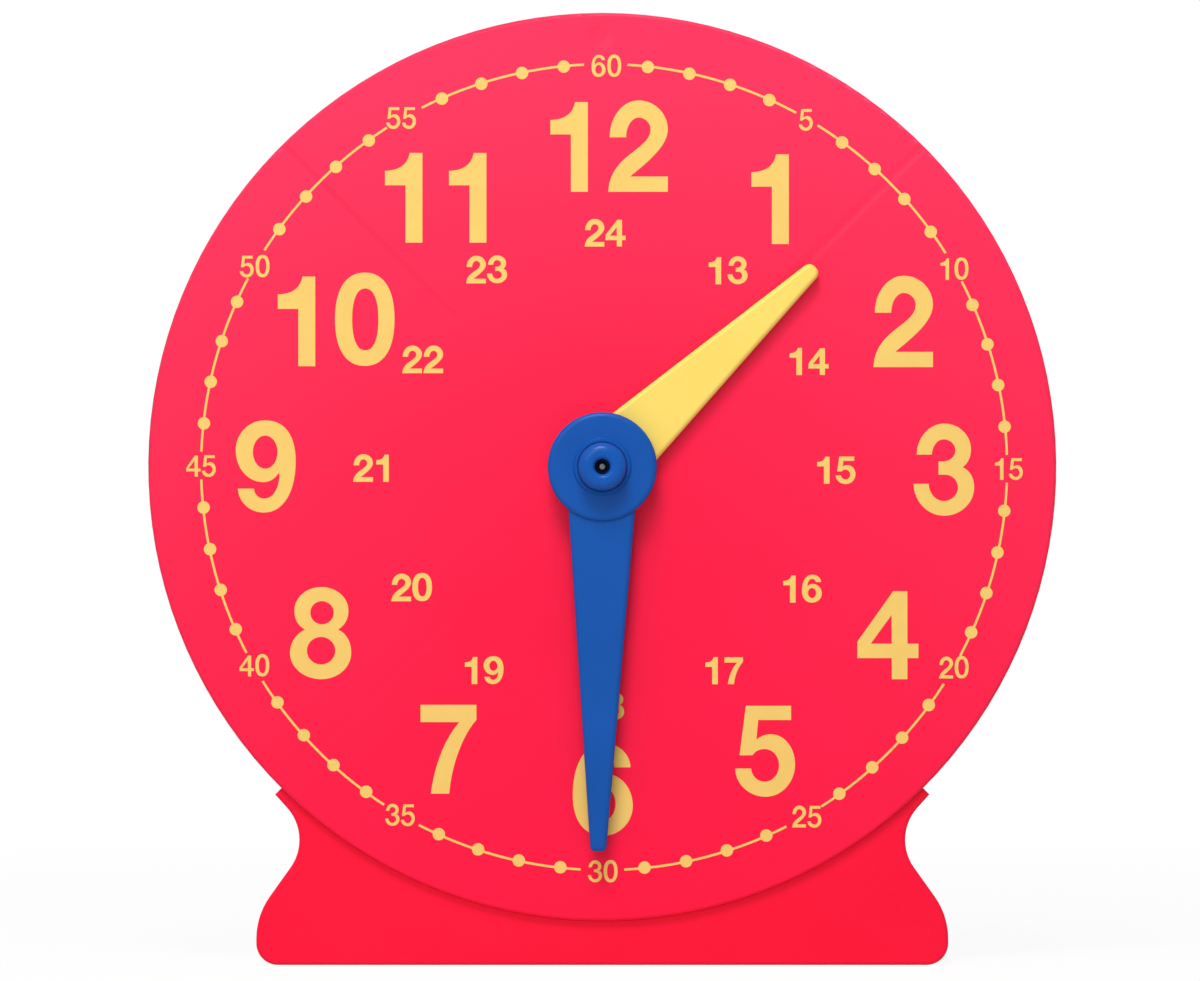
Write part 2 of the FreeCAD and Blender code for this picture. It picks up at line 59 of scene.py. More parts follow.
# %% Measure the dial
LOOKS_FORWARD = -0.999
dial_low, dial_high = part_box("dial_plate")
forward = {}
for facet in nodes["dial_plate"].data.polygons:
    if facet.normal.y < LOOKS_FORWARD:
        depth = round(facet.center.y, 6)
        forward[depth] = forward.get(depth, 0.0) + facet.area
dial_centre = Vector((
    (dial_low.x + dial_high.x) / 2,
    max(forward, key=forward.get),
    (dial_low.z + dial_high.z) / 2,
))
dial_radius = (dial_high.x - dial_low.x) / 2
print("dial centre, mm", [round(v / MM, 2) for v in dial_centre], "radius", round(dial_radius / MM, 2))

# %% [markdown]
# ## Colours and nodes
# A colour is picked on a screen as an sRGB hex value, but light is added up in linear numbers.
# One function turns the first into the second. Another adds any node to any tree: it sets the
# node's settings, then fills each input with a number or a link.
#
# Some nodes have several inputs with one name, so their inputs are given by number. On a Map
# Range, 0 is the value, 1 and 2 are its range, and 3 and 4 the range it is mapped to. On a
# Mix of colours, 0 is the share, 6 and 7 are the colours, and the result is output 2.

# %% Colour and node helpers
def linear(hex_colour):
    """An sRGB hex colour as linear RGBA."""
    parts = [int(hex_colour[i:i + 2], 16) / 255 for i in (1, 3, 5)]
    return [p / 12.92 if p <= 0.04045 else ((p + 0.055) / 1.055) ** 2.4 for p in parts] + [1.0]


def add(tree, kind, inputs=None, **settings):
    """Adds a node, sets its settings, and fills or links its inputs."""
    made = tree.nodes.new(kind)
    for name, value in settings.items():
        setattr(made, name, value)
    for socket, value in (inputs or {}).items():
        if isinstance(value, bpy.types.Node):
            value = value.outputs[0]
        if isinstance(value, bpy.types.NodeSocket):
            tree.links.new(value, made.inputs[socket])
        else:
            made.inputs[socket].default_value = value
    return made


print("mid grey in linear numbers", [round(p, 3) for p in linear("#808080")])

# %% [markdown]
# ## Moulded plastic
# Most of the clock is injection moulded. A mould that has been spark-eroded leaves a fine
# grain of about half a millimetre, drawn here at 0.9 mm so that it still shows. The melt cools
# unevenly, which gives cloudy patches a few centimetres across that are slightly paler or
# deeper. A picture of such a surface would need UVs and would repeat, so both are Noise
# textures on Object coordinates. Those are metres here, so a pattern of s millimetres has a
# scale of 1000 / s. Nearly all of a Noise texture's values lie between 0.3 and 0.7, so that
# range is stretched over the change of colour and of gloss.

# %% A moulded surface
NOISE_LOW, NOISE_HIGH = 0.3, 0.7
GRAIN_GLOSS = 0.05


def empty_material(name):
    """A new material whose node tree is still empty."""
    made = bpy.data.materials.new(name)
    made.use_nodes = True
    made.node_tree.nodes.clear()
    return made


def moulded(name, colour, deep, roughness, cloud_mm=60, grain_mm=0.9, grain_depth_mm=0.012, specular=0.5):
    """A plastic with clouds from `colour` to `deep` and an eroded grain. Returns its nodes."""
    made = empty_material(name)
    tree = made.node_tree
    place = add(tree, "ShaderNodeTexCoord").outputs["Object"]
    clouds = add(tree, "ShaderNodeTexNoise", {
        "Vector": place, "Scale": 1000 / cloud_mm, "Detail": 4.0, "Roughness": 0.6,
    })
    grain = add(tree, "ShaderNodeTexNoise", {"Vector": place, "Scale": 1000 / grain_mm, "Detail": 2.0})
    blend = add(tree, "ShaderNodeMapRange", {0: clouds, 1: NOISE_LOW, 2: NOISE_HIGH})
    tint = add(tree, "ShaderNodeMix", {0: blend, 6: linear(colour), 7: linear(deep)}, data_type="RGBA")
    gloss = add(tree, "ShaderNodeMapRange", {
        0: grain, 1: NOISE_LOW, 2: NOISE_HIGH, 3: roughness - GRAIN_GLOSS, 4: roughness + GRAIN_GLOSS,
    })
    relief = add(tree, "ShaderNodeBump", {"Height": grain, "Strength": 1.0, "Distance": grain_depth_mm * MM})
    surface = add(tree, "ShaderNodeBsdfPrincipled", {
        "Base Color": tint.outputs[2], "Roughness": gloss, "Normal": relief, "Specular IOR Level": specular,
    })
    add(tree, "ShaderNodeOutputMaterial", {"Surface": surface})
    return {
        "material": made, "tree": tree, "place": place,
        "tint": tint, "relief": relief, "surface": surface,
    }


print("noise is read between", NOISE_LOW, "and", NOISE_HIGH)

# %% [markdown]
# ## The red dial
# The dial is glossy red polystyrene. Its upper part and its rim are painted a little pinker than
# the rest. This is a painted sheen that stands in for light from above glancing off the gloss.
# The lower middle keeps the plain red. Painting that by hand would need UVs as well. Here the
# plain colour and the painted sheen pink are mixed by height and by the distance from the centre.

# %% Red polystyrene, with a painted sheen
dial_red = moulded(
    "moulded_red_polystyrene_dial", "#FE0D42", "#FB073C", 0.38, grain_depth_mm=0.008, specular=0.16,
)
# The pink is painted sheen: a paler colour that stands in for light from above, strongest at the top and the
# rim.
SHEEN_PINK = "#FE315A"
SHEEN_AT_FOOT, SHEEN_AT_TOP, SHEEN_AT_RIM = -0.26, 0.80, 0.34

tree = dial_red["tree"]
from_centre = add(tree, "ShaderNodeMapping", {"Vector": dial_red["place"], "Location": -dial_centre})
axes = add(tree, "ShaderNodeSeparateXYZ", {0: from_centre}).outputs
outward = add(tree, "ShaderNodeVectorMath", {0: from_centre}, operation="LENGTH").outputs["Value"]
sheen_by_height = add(tree, "ShaderNodeMapRange", {
    0: axes["Z"], 1: -dial_radius, 2: dial_radius, 3: SHEEN_AT_FOOT, 4: SHEEN_AT_TOP,
})
sheen_by_rim = add(tree, "ShaderNodeMapRange", {
    0: outward, 1: 0.2 * dial_radius, 2: dial_radius, 3: 0.0, 4: SHEEN_AT_RIM,
})
# The share of painted sheen grows towards the top and towards the rim.
painted_sheen = add(tree, "ShaderNodeMath", {0: sheen_by_height, 1: sheen_by_rim}, operation="ADD", use_clamp=True)
sheen_tinted = add(tree, "ShaderNodeMix", {
    0: painted_sheen, 6: dial_red["tint"].outputs[2], 7: linear(SHEEN_PINK),
}, data_type="RGBA")
tree.links.new(sheen_tinted.outputs[2], dial_red["surface"].inputs["Base Color"])
print("red dial fades towards", SHEEN_PINK)

# %% [markdown]
# Where a rib stands behind a moulded face, the thicker plastic shrinks more and pulls the face
# in a little: a sink mark. Real marks are a few hundredths of a millimetre deep, too shallow
# to model, so they are a height that the shader bends the light with. Four ribs run out at 45
# degrees, where a place is as far across as it is up. Their marks are deepest at the upper
# left, which filled last, and fade towards the lower right.

# %% Sink marks of the ribs
RIB_HALF_WIDTH = 3.4 * MM
RIB_START, RIB_FULL = 62 * MM, 76 * MM
RIB_SHALLOW, RIB_DEEP = 0.1, 1.0
LEFT_WEIGHT = 0.55

across = add(tree, "ShaderNodeMath", {0: axes["X"]}, operation="ABSOLUTE")
upward = add(tree, "ShaderNodeMath", {0: axes["Z"]}, operation="ABSOLUTE")
off_rib = add(tree, "ShaderNodeMath", {0: across, 1: upward}, operation="SUBTRACT")
off_rib = add(tree, "ShaderNodeMath", {0: off_rib}, operation="ABSOLUTE")
rib_sink = add(tree, "ShaderNodeMapRange", {
    0: off_rib, 1: 0.0, 2: RIB_HALF_WIDTH, 3: 1.0, 4: 0.0,
}, interpolation_type="SMOOTHSTEP")
rib_reach = add(tree, "ShaderNodeMapRange", {
    0: outward, 1: RIB_START, 2: RIB_FULL,
}, interpolation_type="SMOOTHSTEP")
up_left = add(tree, "ShaderNodeMath", {
    0: axes["X"], 1: -LEFT_WEIGHT, 2: axes["Z"],
}, operation="MULTIPLY_ADD")
rib_depth = add(tree, "ShaderNodeMapRange", {
    0: up_left, 1: -0.2 * dial_radius, 2: dial_radius, 3: RIB_SHALLOW, 4: RIB_DEEP,
})
for factor in (rib_reach, rib_depth):
    rib_sink = add(tree, "ShaderNodeMath", {0: rib_sink, 1: factor}, operation="MULTIPLY")
print("rib marks are full at", round(RIB_FULL / MM), "mm from the centre")

# %% [markdown]
# A round boss sits above twelve o'clock and leaves a dimple. At each place the deeper of the
# two marks counts, and the side of the rim has none. The bump is deeper than the real marks,
# so that they still show in soft light, and it bends the light after the grain has.

# %% Sink mark of the boss, and the bump of both
MARK_DEPTH = 0.45 * MM
BOSS_PLACE = (-0.5 * MM, 0, 142 * MM)
BOSS_FLAT, BOSS_RADIUS, BOSS_DEEP = 1.5 * MM, 5 * MM, 0.6
FACE_ENDS, SIDE_STARTS = 0.3 * MM, 1.2 * MM

from_boss = add(tree, "ShaderNodeVectorMath", {
    0: from_centre, 1: BOSS_PLACE,
}, operation="DISTANCE").outputs["Value"]
boss_sink = add(tree, "ShaderNodeMapRange", {
    0: from_boss, 1: BOSS_FLAT, 2: BOSS_RADIUS, 3: BOSS_DEEP, 4: 0.0,
}, interpolation_type="SMOOTHSTEP")
sink = add(tree, "ShaderNodeMath", {0: rib_sink, 1: boss_sink}, operation="MAXIMUM")
on_face = add(tree, "ShaderNodeMapRange", {0: axes["Y"], 1: FACE_ENDS, 2: SIDE_STARTS, 3: 1.0, 4: 0.0})
sink = add(tree, "ShaderNodeMath", {0: sink, 1: on_face}, operation="MULTIPLY")
hollow = add(tree, "ShaderNodeBump", {
    "Height": sink, "Strength": 1.0, "Distance": MARK_DEPTH, "Normal": dial_red["relief"],
}, invert=True)
tree.links.new(hollow.outputs[0], dial_red["surface"].inputs["Normal"])
print("red dial:", len(tree.nodes), "nodes")

# %% [markdown]
# ## The other plastics
# The same moulded surface serves the stand, the cover and the hands, each with its own
# colours. Polystyrene is hard and fairly glossy. Fingers have polished the knob, so its
# highlight is sharper and its grain shallower. The gears and the arbor are acetal, a waxy
# plastic that slides well, and the washers are punched from nylon sheet. Waxy plastics have a
# broad, dull highlight, so their roughness is higher.

# %% Red, blue, yellow, acetal and nylon
plastics = {
    "stand": moulded("moulded_red_polystyrene_stand", "#FE123C", "#FB0E38", 0.42, specular=0.14),
    "gear_cover": moulded(
        "moulded_dark_red_polystyrene", "#D40E2E", "#C80A29", 0.42, cloud_mm=40, specular=0.2),
    "blue": moulded("moulded_blue_polystyrene", "#0454AC", "#024FA5", 0.34, cloud_mm=30, specular=0.19),
    "knob": moulded(
        "finger_polished_blue_polystyrene", "#0455B1", "#0250A9", 0.25, cloud_mm=30,
        grain_depth_mm=0.004, specular=0.18),
    "yellow": moulded("moulded_yellow_polystyrene", "#FBDD6D", "#F9D865", 0.36, cloud_mm=30, specular=0.2),
    "gear": moulded("moulded_white_acetal", "#E4E2DA", "#DAD8CE", 0.45, cloud_mm=12, grain_mm=1.5),
    "arbor": moulded(
        "moulded_navy_acetal", "#060B2E", "#040824", 0.5, cloud_mm=10, grain_mm=1.5, specular=0.06),
    "washer": moulded("punched_white_nylon", "#E9E9E6", "#DFDFDA", 0.55, cloud_mm=8, grain_mm=2.0),
}
print("plastics", [p["material"].name for p in plastics.values()])

# %% [markdown]
# ## Steel
# The centre axle was turned on a lathe, which leaves fine rings round it. The spring washer is
# rolled steel, with straight streaks, and the screws are zinc plated, which looks bluish and
# faintly cloudy. The shader's Anisotropic setting smears a highlight as real rings do, but it
# shows no ring. So each steel gets a streak pattern of its own in the roughness and the bump,
# at 0.4 to 0.8 mm, which is coarser than real tool marks, so that it shows.

# %% Turned, rolled and plated steel
STREAK_GLOSS = 0.08


def steel(name, colour, bright, roughness, streak_mm, stretch, depth_mm):
    """A metal with streaks from `colour` to `bright`, longer along the axes with a small stretch."""
    made = empty_material(name)
    tree = made.node_tree
    place = add(tree, "ShaderNodeTexCoord").outputs["Object"]
    stretched = add(tree, "ShaderNodeMapping", {"Vector": place, "Scale": stretch})
    streaks = add(tree, "ShaderNodeTexNoise", {"Vector": stretched, "Scale": 1000 / streak_mm, "Detail": 3.0})
    tint = add(tree, "ShaderNodeMix", {0: streaks, 6: linear(colour), 7: linear(bright)}, data_type="RGBA")
    gloss = add(tree, "ShaderNodeMapRange", {
        0: streaks, 1: NOISE_LOW, 2: NOISE_HIGH, 3: roughness - STREAK_GLOSS, 4: roughness + STREAK_GLOSS,
    })
    relief = add(tree, "ShaderNodeBump", {"Height": streaks, "Distance": depth_mm * MM})
    surface = add(tree, "ShaderNodeBsdfPrincipled", {
        "Base Color": tint.outputs[2], "Metallic": 1.0, "Roughness": gloss, "Normal": relief,
    })
    add(tree, "ShaderNodeOutputMaterial", {"Surface": surface})
    return made


steels = {
    "axle": steel("turned_oiled_steel", "#4C4D50", "#86888C", 0.45, 0.4, (1, 12, 1), 0.004),
    "spring": steel("rolled_spring_steel", "#6E7076", "#B4B6BC", 0.32, 0.6, (1, 1, 6), 0.003),
    "screw": steel("zinc_plated_steel", "#8E949E", "#D2D6DC", 0.34, 0.8, (1, 1, 1), 0.006),
}
print("steels", [s.name for s in steels.values()])

# %% [markdown]
# ## Giving the CAD parts their surfaces
# The parts already have their true shapes and places. Copies would only drift from the CAD
# model, so each part keeps its mesh, and only its material slots are filled again.

# %% Assign the materials
surfaces = {
    "dial_plate": dial_red["material"],
    "stand": plastics["stand"]["material"],
    "gear_cover": plastics["gear_cover"]["material"],
    "minute_hand": plastics["blue"]["material"],
    "hand_knob": plastics["knob"]["material"],
    "hour_hand": plastics["yellow"]["material"],
    "hour_wheel": plastics["gear"]["material"],
    "idler_gear": plastics["gear"]["material"],
    "minute_arbor": plastics["arbor"]["material"],
    "thrust_washer": plastics["washer"]["material"],
    "hand_washer": plastics["washer"]["material"],
    "centre_axle": steels["axle"],
    "idler_axle": steels["axle"],
    "spring_washer": steels["spring"],
    "cover_screws": steels["screw"],
    "stand_screws": steels["screw"],
}
for name, surface in surfaces.items():
    part = nodes[name]
    if not part.material_slots:
        part.data.materials.append(surface)
    for slot in part.material_slots:
        slot.material = surface
print("parts dressed", len(surfaces), "of", len(nodes))

# %% [markdown]
# ## Printing ink
# The numerals are screen printed in a warm yellow that covers the red. Thick ink dries with a
# slightly uneven skin, so its colour and gloss wander a little over a few millimetres. The
# plastic's nodes give just that when their clouds are small.

# %% Yellow ink
ink = moulded(
    "screen_printed_yellow_ink", "#F4CE6F", "#F1C86B", 0.5, cloud_mm=9, grain_mm=1.2,
    grain_depth_mm=0.006, specular=0.2,
)
INK_HEIGHT = 0.08 * MM
INK_SINK = 0.02 * MM
print("ink stands", round(INK_HEIGHT / MM, 3), "mm proud of the face")

# %% [markdown]
# ## Drawing the figures
# The figures are a bold grotesque. A font would add a file that the lesson doesn't have, so
# each figure is drawn with a pen: M moves, L draws a straight line, C a cubic curve, V a
# quarter ellipse that leaves upright and H one that leaves level. One unit is a 92nd of a
# figure's height. A second or third M starts a hole.

# %% The ten figures
FIGURES = {
    "0": (
        "M 29.5 94.9 H 59.7 47.4 V 29.5 -0.2 H -0.8 47.4 V 29.5 94.9 "
        "M 30 77.9 H 42.6 47.2 V 30 16.5 H 17.3 47.2 V 30 77.9"
    ),
    "1": "M 37.4 0 L 37.4 90.4 L 24.7 90.4 C 22.5 79 15 72.8 0 72.3 L 0 57.8 L 20.5 57.8 L 20.5 0",
    "2": (
        "M 0.3 0 L 59.9 0 L 59.9 15.4 L 22.3 15.4 C 33 25 59.9 44 59.9 62.7 V 30.7 92.1 H 1.8 54.9 "
        "L 18.2 54.9 V 30.7 74.8 H 42.7 62.7 C 42.7 42 2 38 0.3 0"
    ),
    "3": (
        "M 2.2 61.6 V 30.3 94.1 H 57.6 67.4 C 57.6 59 54 52.5 49.8 49.6 C 57 46 60.8 38 60.8 29.2 "
        "V 30.3 0 H -0.9 33.4 L 15.3 33.4 V 29.8 16 H 43.4 29.2 V 31 41.4 L 24 41.4 L 24 55.9 "
        "L 29 55.9 H 40.9 66.5 V 29.8 77 H 18.5 61.6"
    ),
    "4": (
        "M 33.4 0 L 50 0 L 50 21.3 L 61 21.3 L 61 36.8 L 50 36.8 L 50 89.7 L 35 89.7 L -1 38.5 "
        "L -1 21.3 L 33.4 21.3 M 33.4 36.8 L 13.8 36.8 L 33.4 64.5"
    ),
    "5": (
        "M 2.5 40.3 L 8.9 91.4 L 55.2 91.4 L 55.2 75.9 L 22.3 75.9 L 20.5 57.8 "
        "C 24.5 61 29 62.7 34.7 62.7 H 59.2 31.8 V 29.2 -1.5 H -1.8 28.2 L 15.3 28.2 V 28.3 14.9 "
        "H 42 30.9 V 28.3 46.7 C 23 46.7 19 44.5 16.5 40.3"
    ),
    "7": (
        "M 0 90.1 L 56.5 90.1 L 56.5 74.5 C 41 57 31 25 29.3 0 L 10.3 0 "
        "C 13.5 25 22 52.5 38.5 72.1 L 0 72.1"
    ),
    "8": (
        "M 30.8 93.9 H 58.4 69.6 C 58.4 60 54 54 48.5 50.4 C 57 46.5 61.2 37 61.2 26.8 V 30.8 -0.2 "
        "H -1.2 26.8 C -1.2 37 5 46.5 13.3 50.4 C 7.5 54 3.2 60 3.2 69.6 V 30.8 93.9 "
        "M 31.4 78.5 H 42.6 67.4 V 31.4 56.3 H 20.3 67.4 V 31.4 78.5 "
        "M 30.5 42.4 H 44.1 29.1 V 30.5 15.8 H 16.9 29.1 V 30.5 42.4"
    ),
    "9": (
        "M 1 24.9 L 18.1 24.9 V 27.5 14.8 C 36.5 14.8 42 24 42.8 39.7 C 38.5 33 33 30.2 26.6 30.2 "
        "H -1.3 62.9 V 28.5 93.7 C 49 93.7 59.9 78 59.9 52 C 59.9 20 47 -0.5 27.6 -0.5 H 1 24.9 "
        "M 28.9 77.2 H 40.6 61 V 28.9 44.9 H 17.1 61 V 28.9 77.2"
    ),
}
print("figures drawn", sorted(FIGURES), "and 6, which is 9 turned round")

# %% [markdown]
# A circle's quarter is almost a cubic curve whose handles are 0.5523 of its radius long. A
# longer handle gives the squarer shoulders of the nought. Every stroke is sampled to points
# that are close enough together for the curve to look smooth in the picture.

# %% From strokes to points
ROUND_HANDLE, NOUGHT_HANDLE = 0.5523, 0.64
NINE_ACROSS, NINE_UP = 58.6, 93.2


def pen(path, handle, steps=14):
    """The closed loops of points that a path draws."""
    loops = []
    for letter, numbers in re.findall(r"([MLCVH])([-\d. ]+)", path):
        values = [float(n) for n in numbers.split()]
        end = Vector(values[-2:])
        if letter == "M":
            loops.append([end])
            continue
        start = loops[-1][-1]
        if letter == "L":
            loops[-1].append(end)
            continue
        if letter == "C":
            first, second = Vector(values[:2]), Vector(values[2:4])
        else:
            corner = Vector((start.x, end.y)) if letter == "V" else Vector((end.x, start.y))
            first, second = start.lerp(corner, handle), end.lerp(corner, handle)
        for i in range(1, steps + 1):
            t = i / steps
            loops[-1].append(
                start * (1 - t) ** 3 + first * 3 * t * (1 - t) ** 2
                + second * 3 * t * t * (1 - t) + end * t ** 3
            )
    for loop in loops:
        if (loop[0] - loop[-1]).length < 1e-6:
            loop.pop()
    return loops


figures = {}
for key, path in FIGURES.items():
    figures[key] = pen(path, NOUGHT_HANDLE if key == "0" else ROUND_HANDLE)
figures["6"] = [[Vector((NINE_ACROSS - p.x, NINE_UP - p.y)) for p in loop] for loop in figures["9"]]
print("points per figure", {k: sum(map(len, v)) for k, v in sorted(figures.items())})

# %% [markdown]
# The small minute figures are the same design in a lighter weight. A lighter weight comes from
# moving every edge inwards by the same amount: each point slides along the middle of the two
# edges that meet there, and further at a sharp corner. A limit keeps the sharpest corners from
# sliding too far. The wide figures came out a little heavier than the narrow ones, so they are
# thinned by about half a unit for all three rings.

# %% A lighter weight
LEAST_REACH = 0.4
THINNER = {"0": 0.5, "3": 0.6, "4": 0.5, "5": 0.6, "6": 0.6, "7": 0.3, "8": 0.6, "9": 0.6}


def thinned(loops, inset):
    """The loops with every edge moved into the ink by `inset`."""
    made = []
    for number, loop in enumerate(loops):
        area = sum(a.x * b.y - b.x * a.y for a, b in zip(loop, loop[1:] + loop[:1]))
        ring = loop if (area > 0) == (number == 0) else loop[::-1]
        moved = []
        for before, here, after in zip(ring[-1:] + ring[:-1], ring, ring[1:] + ring[:1]):
            one, two = (here - before).normalized(), (after - here).normalized()
            side = Vector((-one.y - two.y, one.x + two.x))
            reach = max(side.length_squared / 2, LEAST_REACH)
            moved.append(here + side * (inset / reach))
        made.append(moved)
    return made


for key, inset in THINNER.items():
    figures[key] = thinned(figures[key], inset)
print("figures thinned", list(THINNER))

# %% [markdown]
# ## Printing the numerals
# Ink has a thickness that catches the light at its edge, so a figure is a thin plate and not a
# patch of colour on the dial. Its outlines are filled with triangles in front and behind, and
# a wall joins the two, so the ink is a closed solid. Its back sits a hair inside the plastic,
# so no gap shows from the side.

# %% A plate of ink
def add_plate(bm, outlines):
    """Adds a closed plate of ink with these outlines, the first the outside and the others holes."""
    rings = []
    for outline in outlines:
        rings.append([[bm.verts.new((p.x, dial_centre.y + y, p.z)) for y in (-INK_HEIGHT, INK_SINK)]
                      for p in outline])
    pairs = [pair for ring in rings for pair in ring]
    for corners in tessellate_polygon(outlines):
        bm.faces.new([pairs[c][0] for c in corners])
        bm.faces.new([pairs[c][1] for c in reversed(corners)])
    for ring in rings:
        for one, two in zip(ring, ring[1:] + ring[:1]):
            bm.faces.new((one[0], one[1], two[1], two[0]))


print("a plate is", round((INK_HEIGHT + INK_SINK) / MM, 3), "mm thick")

# %% [markdown]
# All the figures of one ring go into one mesh, which is one piece. Each figure has a place of
# the same width, as figures in print do, and stands a little in from the left of it. The
# narrow 1 stands further in, so that it is in the middle of its place.

# %% Set a ring of numerals
ADVANCE = 64.0
USUAL_BEARING, BEARING = 2.0, {"1": 8.5}


def put_in_scene(name, data):
    """A new object for a mesh, lamp or camera, at the origin of the scene."""
    made = bpy.data.objects.new(name, data)
    bpy.context.scene.collection.objects.link(made)
    return made


def print_numerals(name, places, size, inset=0.0):
    """Prints each text with its middle and foot at a place in mm from the dial's centre."""
    bm = bmesh.new()
    for text, (middle, foot) in places.items():
        for number, key in enumerate(text):
            left = (number - len(text) / 2) * ADVANCE + BEARING.get(key, USUAL_BEARING)
            loops = thinned(figures[key], inset) if inset else figures[key]
            add_plate(bm, [[Vector((
                dial_centre.x + (middle + (left + p.x) * size[0]) * MM,
                0,
                dial_centre.z + (foot + p.y * size[1]) * MM,
            )) for p in loop] for loop in loops])
    bmesh.ops.recalc_face_normals(bm, faces=bm.faces)
    open_edges = sum(not e.is_manifold for e in bm.edges)
    mesh = bpy.data.meshes.new(name)
    bm.to_mesh(mesh)
    bm.free()
    mesh.materials.append(ink["material"])
    piece = put_in_scene(name, mesh)
    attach(piece, "case")
    print(name, "texts", len(places), "faces", len(mesh.polygons), "open edges", open_edges)


print("a figure's place is", ADVANCE, "units wide")

# %% [markdown]
# ### The three rings
# The large hours stand upright round the dial, with the hours of the second half of the day
# inside them and the minutes outside. Their places are measured from the middle of the dial in
# millimetres: the middle of the text across, and the foot of the figures up. A rule would put
# them on exact circles, but printed texts wander from those by a millimetre or so, so the
# places are written out.

# %% Hours, the second round of hours, and minutes
FIGURE_UNIT = 0.3302
HOUR_SIZE = (FIGURE_UNIT, FIGURE_UNIT * 0.992)
DAY_SIZE = (FIGURE_UNIT * 0.33, FIGURE_UNIT * 0.30)
MINUTE_SIZE = (FIGURE_UNIT * 0.245, FIGURE_UNIT * 0.245)
hour_places = {
    "12": (1.2, 90.8), "1": (57.0, 73.55), "2": (99.3, 32.9), "3": (112.8, -16.35),
    "4": (94.3, -70.3), "5": (54.2, -108.65), "6": (0.4, -121.8), "7": (-50.2, -108.0),
    "8": (-93.0, -70.25), "9": (-110.9, -15.15), "10": (-88.8, 33.2), "11": (-53.4, 74.0),
}
day_places = {
    "24": (0.9, 72.7), "13": (41.2, 60.25), "14": (67.9, 30.3), "15": (77.0, -5.6),
    "16": (65.8, -44.85), "17": (40.1, -71.8), "18": (0.4, -83.6), "19": (-39.3, -71.75),
    "20": (-62.9, -44.4), "21": (-75.5, -4.95), "22": (-59.3, 30.9), "23": (-38.2, 60.55),
}
minute_places = {
    "60": (1.4, 128.6), "5": (67.3, 110.9), "10": (116.05, 61.6), "15": (134.05, -4.4),
    "20": (116.1, -70.0), "25": (67.55, -119.2), "30": (0.2, -137.35), "35": (-66.7, -118.7),
    "40": (-114.8, -69.35), "45": (-132.4, -3.4), "50": (-114.7, 62.45), "55": (-66.3, 111.5),
}
print_numerals("hour_numerals", hour_places, HOUR_SIZE)
print_numerals("day_numerals", day_places, DAY_SIZE)
print_numerals("minute_numerals", minute_places, MINUTE_SIZE, inset=1.5)

# %% [markdown]
# ## The minute track
# Forty-eight dots mark the minutes that have no numeral, and thin lines join them. Beside a
# numeral the line stops short, further off where the numeral is wide. This is a rule that
# repeats round a ring, so Geometry Nodes make it: sixty points, a dot on every point whose
# number isn't a multiple of five, and a line between each point and the next. The printed
# ring lies a little off the dial's centre and a quarter of a degree askew.

# %% The track's inputs
OFF_CENTRE = Vector((0.6 * MM, -0.03 * MM, -0.1 * MM))
track = bpy.data.node_groups.new("minute_track", "GeometryNodeTree")
track_sizes = {
    "Minutes": ("NodeSocketInt", 60),
    "Ring Radius": ("NodeSocketFloat", 132.9 * MM),
    "Dot Radius": ("NodeSocketFloat", 2.05 * MM),
    "Line Width": ("NodeSocketFloat", 0.75 * MM),
    "Line Beyond Dots": ("NodeSocketFloat", 0.15 * MM),
    "Ink Height": ("NodeSocketFloat", 0.1 * MM),
    "Clear Beside Numeral": ("NodeSocketFloat", 7.2 * MM),
    "Clear Above Numeral": ("NodeSocketFloat", 4.6 * MM),
    "Clear Of One Figure": ("NodeSocketFloat", 3.9 * MM),
    "Ring Centre": ("NodeSocketVector", dial_centre + OFF_CENTRE),
    "Turn": ("NodeSocketFloat", math.radians(0.24)),
    "Ink": ("NodeSocketMaterial", ink["material"]),
}
sockets = {}
for name, (kind, _) in track_sizes.items():
    sockets[name] = track.interface.new_socket(name=name, in_out="INPUT", socket_type=kind)
track.interface.new_socket(name="Geometry", in_out="OUTPUT", socket_type="NodeSocketGeometry")
given = add(track, "NodeGroupInput").outputs
print("track inputs", list(sockets))

# %% [markdown]
# Angles count from the top and grow to the right, as on any clock, so a point on the ring is
# its sine across and its cosine up. The dots are flat cylinders. A cylinder stands along Z and
# the ink lies along Y, so it is turned a quarter first.

# %% Dots on the ring
GROUP = 5.0
DOT_CORNERS = 28


def on_ring(angle, radius, depth=0.0):
    """The nodes that turn an angle and a radius into a place."""
    sine = add(track, "ShaderNodeMath", {0: angle}, operation="SINE")
    cosine = add(track, "ShaderNodeMath", {0: angle}, operation="COSINE")
    across = add(track, "ShaderNodeMath", {0: sine, 1: radius}, operation="MULTIPLY")
    up = add(track, "ShaderNodeMath", {0: cosine, 1: radius}, operation="MULTIPLY")
    return add(track, "ShaderNodeCombineXYZ", {0: across, 1: depth, 2: up})


number = add(track, "GeometryNodeInputIndex")
step = add(track, "ShaderNodeMath", {0: math.tau, 1: given["Minutes"]}, operation="DIVIDE")
angle = add(track, "ShaderNodeMath", {0: number, 1: step}, operation="MULTIPLY")
dot_points = add(track, "GeometryNodePoints", {
    "Count": given["Minutes"], "Position": on_ring(angle, given["Ring Radius"]),
})
in_group = add(track, "ShaderNodeMath", {0: number, 1: GROUP}, operation="MODULO")
has_dot = add(track, "ShaderNodeMath", {0: in_group, 1: 0.5}, operation="GREATER_THAN")
disc = add(track, "GeometryNodeMeshCylinder", {
    "Vertices": DOT_CORNERS, "Radius": given["Dot Radius"], "Depth": given["Ink Height"],
})
disc = add(track, "GeometryNodeTransform", {"Geometry": disc, "Rotation": (math.pi / 2, 0, 0)})
dots = add(track, "GeometryNodeInstanceOnPoints", {
    "Points": dot_points, "Selection": has_dot, "Instance": disc,
})
print("track so far:", len(track.nodes), "nodes")

# %% [markdown]
# A line covers the angle of one minute. Next to a numeral it loses the clear length, which
# follows an ellipse round the numeral, and its middle slides away from the numeral by half of
# that. `touched` is 1 beside a numeral, and `side` is 1 just after it and -1 just before it.

